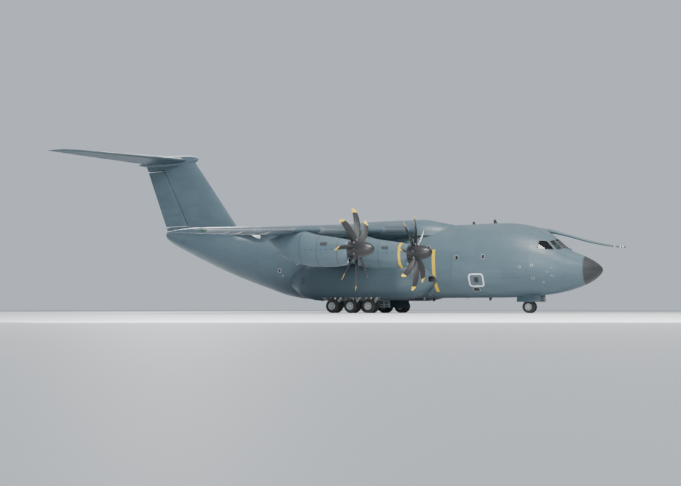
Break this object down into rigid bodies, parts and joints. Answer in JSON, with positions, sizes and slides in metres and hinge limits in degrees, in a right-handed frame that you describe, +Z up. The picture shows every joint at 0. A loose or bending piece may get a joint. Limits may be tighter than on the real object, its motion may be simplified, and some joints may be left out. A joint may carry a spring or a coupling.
{
  "type": "military transport plane, 1:2 scale model",
  "caption": "High-wing propeller transport aircraft on its landing gear, with a T-tail, a hollow cargo hold, a rear loading ramp and working control surfaces.",
  "frame": {"origin": "on the ground under the middle of the overall box", "axes": "+X forward towards the nose, +Y to the aircraft's left, +Z up"},
  "size_m": [23.29, 21.2, 7.325],
  "materials": {
    "fuselage_front": "semi-matt blue-grey paint",
    "fuselage_centre": "semi-matt blue-grey paint",
    "fuselage_rear": "semi-matt blue-grey paint",
    "cargo_ramp": "semi-matt blue-grey paint",
    "cargo_door": "semi-matt blue-grey paint",
    "crew_door": "semi-matt blue-grey paint",
    "paratroop_door_left": "semi-matt blue-grey paint",
    "paratroop_door_right": "semi-matt blue-grey paint",
    "wing_fairing": "semi-matt blue-grey paint",
    "wing_left": "semi-matt blue-grey paint, shaded underside",
    "wing_right": "semi-matt blue-grey paint, shaded underside",
    "flap_left_inner": "semi-matt blue-grey paint, shaded underside",
    "flap_left_outer": "semi-matt blue-grey paint, shaded underside",
    "flap_right_inner": "semi-matt blue-grey paint, shaded underside",
    "flap_right_outer": "semi-matt blue-grey paint, shaded underside",
    "aileron_left": "semi-matt blue-grey paint, shaded underside",
    "aileron_right": "semi-matt blue-grey paint, shaded underside",
    "sponson_left": "semi-matt blue-grey paint, shaded underside",
    "sponson_right": "semi-matt blue-grey paint, shaded underside",
    "nose_gear_door_left": "semi-matt blue-grey paint, shaded underside",
    "nose_gear_door_right": "semi-matt blue-grey paint, shaded underside",
    "main_gear_door_left": "semi-matt blue-grey paint, shaded underside",
    "main_gear_door_right": "semi-matt blue-grey paint, shaded underside",
    "nacelle_left_inner": "semi-matt blue-grey paint, shaded underside",
    "nacelle_left_outer": "semi-matt blue-grey paint, shaded underside",
    "nacelle_right_inner": "semi-matt blue-grey paint, shaded underside",
    "nacelle_right_outer": "semi-matt blue-grey paint, shaded underside",
    "tail_cone": "semi-matt blue-grey paint over composite",
    "fin": "semi-matt blue-grey paint over composite",
    "rudder": "semi-matt blue-grey paint over composite",
    "tailplane": "semi-matt blue-grey paint over composite",
    "elevator_left": "semi-matt blue-grey paint over composite",
    "elevator_right": "semi-matt blue-grey paint over composite",
    "radome": "near-black rain-erosion paint",
    "windscreen": "tinted flight-deck glazing",
    "refuelling_probe": "bare metal",
    "cargo_floor": "worn hard-wearing floor",
    "flight_deck": "grey paint",
    "instrument_panel": "matt dark",
    "seat_left": "padded cloth",
    "seat_right": "padded cloth",
    "engine_left_inner": "plain block with shaft",
    "propeller_left_inner": "black composite blades with yellow tips",
    "engine_left_outer": "plain block with shaft",
    "propeller_left_outer": "black composite blades with yellow tips",
    "engine_right_inner": "plain block with shaft",
    "propeller_right_inner": "black composite blades with yellow tips",
    "engine_right_outer": "plain block with shaft",
    "propeller_right_outer": "black composite blades with yellow tips",
    "main_gear_legs_left": "light grey painted steel",
    "main_gear_legs_right": "light grey painted steel",
    "nose_gear_leg": "light grey painted steel",
    "nose_gear_fork": "light grey painted steel",
    "main_wheels_left_1": "rubber tyres on painted wheels",
    "main_wheels_left_2": "rubber tyres on painted wheels",
    "main_wheels_left_3": "rubber tyres on painted wheels",
    "main_wheels_right_1": "rubber tyres on painted wheels",
    "main_wheels_right_2": "rubber tyres on painted wheels",
    "main_wheels_right_3": "rubber tyres on painted wheels",
    "nose_wheels": "rubber tyres on painted wheels"
  },
  "bodies": {
    "airframe": {"fuselage_front": "fuselage_front", "fuselage_centre": "fuselage_centre", "fuselage_rear": "fuselage_rear", "paratroop_door_left": "paratroop_door_left", "paratroop_door_right": "paratroop_door_right", "wing_fairing": "wing_fairing", "wing_left": "wing_left", "wing_right": "wing_right", "sponson_left": "sponson_left", "sponson_right": "sponson_right", "nose_gear_door_left": "nose_gear_door_left", "nose_gear_door_right": "nose_gear_door_right", "main_gear_door_left": "main_gear_door_left", "main_gear_door_right": "main_gear_door_right", "nacelle_left_inner": "nacelle_left_inner", "nacelle_left_outer": "nacelle_left_outer", "nacelle_right_inner": "nacelle_right_inner", "nacelle_right_outer": "nacelle_right_outer", "tail_cone": "tail_cone", "fin": "fin", "tailplane": "tailplane", "radome": "radome", "windscreen": "windscreen", "refuelling_probe": "refuelling_probe", "cargo_floor": "cargo_floor", "flight_deck": "flight_deck", "instrument_panel": "instrument_panel", "seat_left": "seat_left", "seat_right": "seat_right", "engine_left_inner": "engine_left_inner", "engine_left_outer": "engine_left_outer", "engine_right_inner": "engine_right_inner", "engine_right_outer": "engine_right_outer", "main_gear_legs_left": "main_gear_legs_left", "main_gear_legs_right": "main_gear_legs_right", "nose_gear_leg": "nose_gear_leg"},
    "cargo_ramp": {"cargo_ramp": "cargo_ramp"},
    "cargo_door": {"cargo_door": "cargo_door"},
    "crew_door": {"crew_door": "crew_door"},
    "flap_left_inner": {"flap_left_inner": "flap_left_inner"},
    "flap_left_outer": {"flap_left_outer": "flap_left_outer"},
    "flap_right_inner": {"flap_right_inner": "flap_right_inner"},
    "flap_right_outer": {"flap_right_outer": "flap_right_outer"},
    "aileron_left": {"aileron_left": "aileron_left"},
    "aileron_right": {"aileron_right": "aileron_right"},
    "rudder": {"rudder": "rudder"},
    "elevator_left": {"elevator_left": "elevator_left"},
    "elevator_right": {"elevator_right": "elevator_right"},
    "propeller_left_inner": {"propeller_left_inner": "propeller_left_inner"},
    "propeller_left_outer": {"propeller_left_outer": "propeller_left_outer"},
    "propeller_right_inner": {"propeller_right_inner": "propeller_right_inner"},
    "propeller_right_outer": {"propeller_right_outer": "propeller_right_outer"},
    "nose_gear_fork": {"nose_gear_fork": "nose_gear_fork"},
    "main_wheels_left_1": {"main_wheels_left_1": "main_wheels_left_1"},
    "main_wheels_left_2": {"main_wheels_left_2": "main_wheels_left_2"},
    "main_wheels_left_3": {"main_wheels_left_3": "main_wheels_left_3"},
    "main_wheels_right_1": {"main_wheels_right_1": "main_wheels_right_1"},
    "main_wheels_right_2": {"main_wheels_right_2": "main_wheels_right_2"},
    "main_wheels_right_3": {"main_wheels_right_3": "main_wheels_right_3"},
    "nose_wheels": {"nose_wheels": "nose_wheels"}
  },
  "joints": [
    {"name": "propeller_left_inner_spin", "type": "hinge", "parent": "airframe", "child": "propeller_left_inner", "pos_m": [5.13, 3.5, 2.125], "axis": [1, 0, 0], "continuous": true},
    {"name": "propeller_left_outer_spin", "type": "hinge", "parent": "airframe", "child": "propeller_left_outer", "pos_m": [4.305, 6.5, 2.075], "axis": [1, 0, 0], "continuous": true},
    {"name": "propeller_right_inner_spin", "type": "hinge", "parent": "airframe", "child": "propeller_right_inner", "pos_m": [5.13, -3.5, 2.125], "axis": [1, 0, 0], "continuous": true},
    {"name": "propeller_right_outer_spin", "type": "hinge", "parent": "airframe", "child": "propeller_right_outer", "pos_m": [4.305, -6.5, 2.075], "axis": [1, 0, 0], "continuous": true},
    {"name": "main_wheels_left_1_roll", "type": "hinge", "parent": "airframe", "child": "main_wheels_left_1", "pos_m": [2.47, 1.55, 0.26836], "axis": [0, 1, 0], "continuous": true},
    {"name": "main_wheels_left_2_roll", "type": "hinge", "parent": "airframe", "child": "main_wheels_left_2", "pos_m": [1.695, 1.55, 0.26836], "axis": [0, 1, 0], "continuous": true},
    {"name": "main_wheels_left_3_roll", "type": "hinge", "parent": "airframe", "child": "main_wheels_left_3", "pos_m": [0.895, 1.55, 0.26836], "axis": [0, 1, 0], "continuous": true},
    {"name": "main_wheels_right_1_roll", "type": "hinge", "parent": "airframe", "child": "main_wheels_right_1", "pos_m": [2.47, -1.55, 0.26836], "axis": [0, 1, 0], "continuous": true},
    {"name": "main_wheels_right_2_roll", "type": "hinge", "parent": "airframe", "child": "main_wheels_right_2", "pos_m": [1.695, -1.55, 0.26836], "axis": [0, 1, 0], "continuous": true},
    {"name": "main_wheels_right_3_roll", "type": "hinge", "parent": "airframe", "child": "main_wheels_right_3", "pos_m": [0.895, -1.55, 0.26836], "axis": [0, 1, 0], "continuous": true},
    {"name": "nose_steering", "type": "hinge", "parent": "airframe", "child": "nose_gear_fork", "pos_m": [8.245, 0, 0.5], "axis": [0, 0, 1], "range_deg": [-60, 60]},
    {"name": "nose_wheels_roll", "type": "hinge", "parent": "nose_gear_fork", "child": "nose_wheels", "pos_m": [8.245, 0, 0.22897], "axis": [0, 1, 0], "continuous": true},
    {"name": "cargo_ramp_hinge", "type": "hinge", "parent": "airframe", "child": "cargo_ramp", "pos_m": [-1.63, 0, 0.79], "axis": [0, -1, 0], "range_deg": [0, 27]},
    {"name": "cargo_door_hinge", "type": "hinge", "parent": "airframe", "child": "cargo_door", "pos_m": [-7.455, 0, 2.95029], "axis": [0, -1, 0], "range_deg": [0, 20]},
    {"name": "crew_door_hinge", "type": "hinge", "parent": "airframe", "child": "crew_door", "pos_m": [7.5075, 1.13, 1.01], "axis": [-1, 0, 0], "range_deg": [0, 110]},
    {"name": "rudder_hinge", "type": "hinge", "parent": "airframe", "child": "rudder", "pos_m": [-7.64833, 0, 4], "axis": [-0.4706, 0, 0.8824], "range_deg": [-28, 28]},
    {"name": "elevator_left_hinge", "type": "hinge", "parent": "airframe", "child": "elevator_left", "pos_m": [-9.47819, 0.375, 7.06], "axis": [-0.3939, 0.9192, 0], "range_deg": [-15, 25]},
    {"name": "elevator_right_hinge", "type": "hinge", "parent": "airframe", "child": "elevator_right", "pos_m": [-9.47819, -0.375, 7.06], "axis": [0.3939, 0.9192, 0], "range_deg": [-15, 25]},
    {"name": "aileron_left_hinge", "type": "hinge", "parent": "airframe", "child": "aileron_left", "pos_m": [0.5127, 7.925, 2.68318], "axis": [-0.115, 0.9908, -0.0721], "range_deg": [-25, 25]},
    {"name": "aileron_right_hinge", "type": "hinge", "parent": "airframe", "child": "aileron_right", "pos_m": [0.5127, -7.925, 2.68318], "axis": [0.115, 0.9908, 0.0721], "range_deg": [-25, 25]},
    {"name": "flap_left_inner_hinge", "type": "hinge", "parent": "airframe", "child": "flap_left_inner", "pos_m": [1.46093, 1.575, 2.71925], "axis": [0, -0.9973, 0.0734], "range_deg": [0, 35]},
    {"name": "flap_left_outer_hinge", "type": "hinge", "parent": "airframe", "child": "flap_left_outer", "pos_m": [1.03679, 4.875, 2.52995], "axis": [0, -0.9973, 0.0734], "range_deg": [0, 35]},
    {"name": "flap_right_inner_hinge", "type": "hinge", "parent": "airframe", "child": "flap_right_inner", "pos_m": [1.46093, -1.575, 2.71925], "axis": [0, -0.9973, -0.0734], "range_deg": [0, 35]},
    {"name": "flap_right_outer_hinge", "type": "hinge", "parent": "airframe", "child": "flap_right_outer", "pos_m": [1.03679, -4.875, 2.52995], "axis": [0, -0.9973, -0.0734], "range_deg": [0, 35]}
  ],
  "couplings": [
    {"joint": "elevator_right_hinge", "follows": "elevator_left_hinge", "ratio": 1},
    {"joint": "aileron_right_hinge", "follows": "aileron_left_hinge", "ratio": -1},
    {"joint": "flap_left_outer_hinge", "follows": "flap_left_inner_hinge", "ratio": 1},
    {"joint": "flap_right_inner_hinge", "follows": "flap_left_inner_hinge", "ratio": 1},
    {"joint": "flap_right_outer_hinge", "follows": "flap_left_inner_hinge", "ratio": 1}
  ]
}
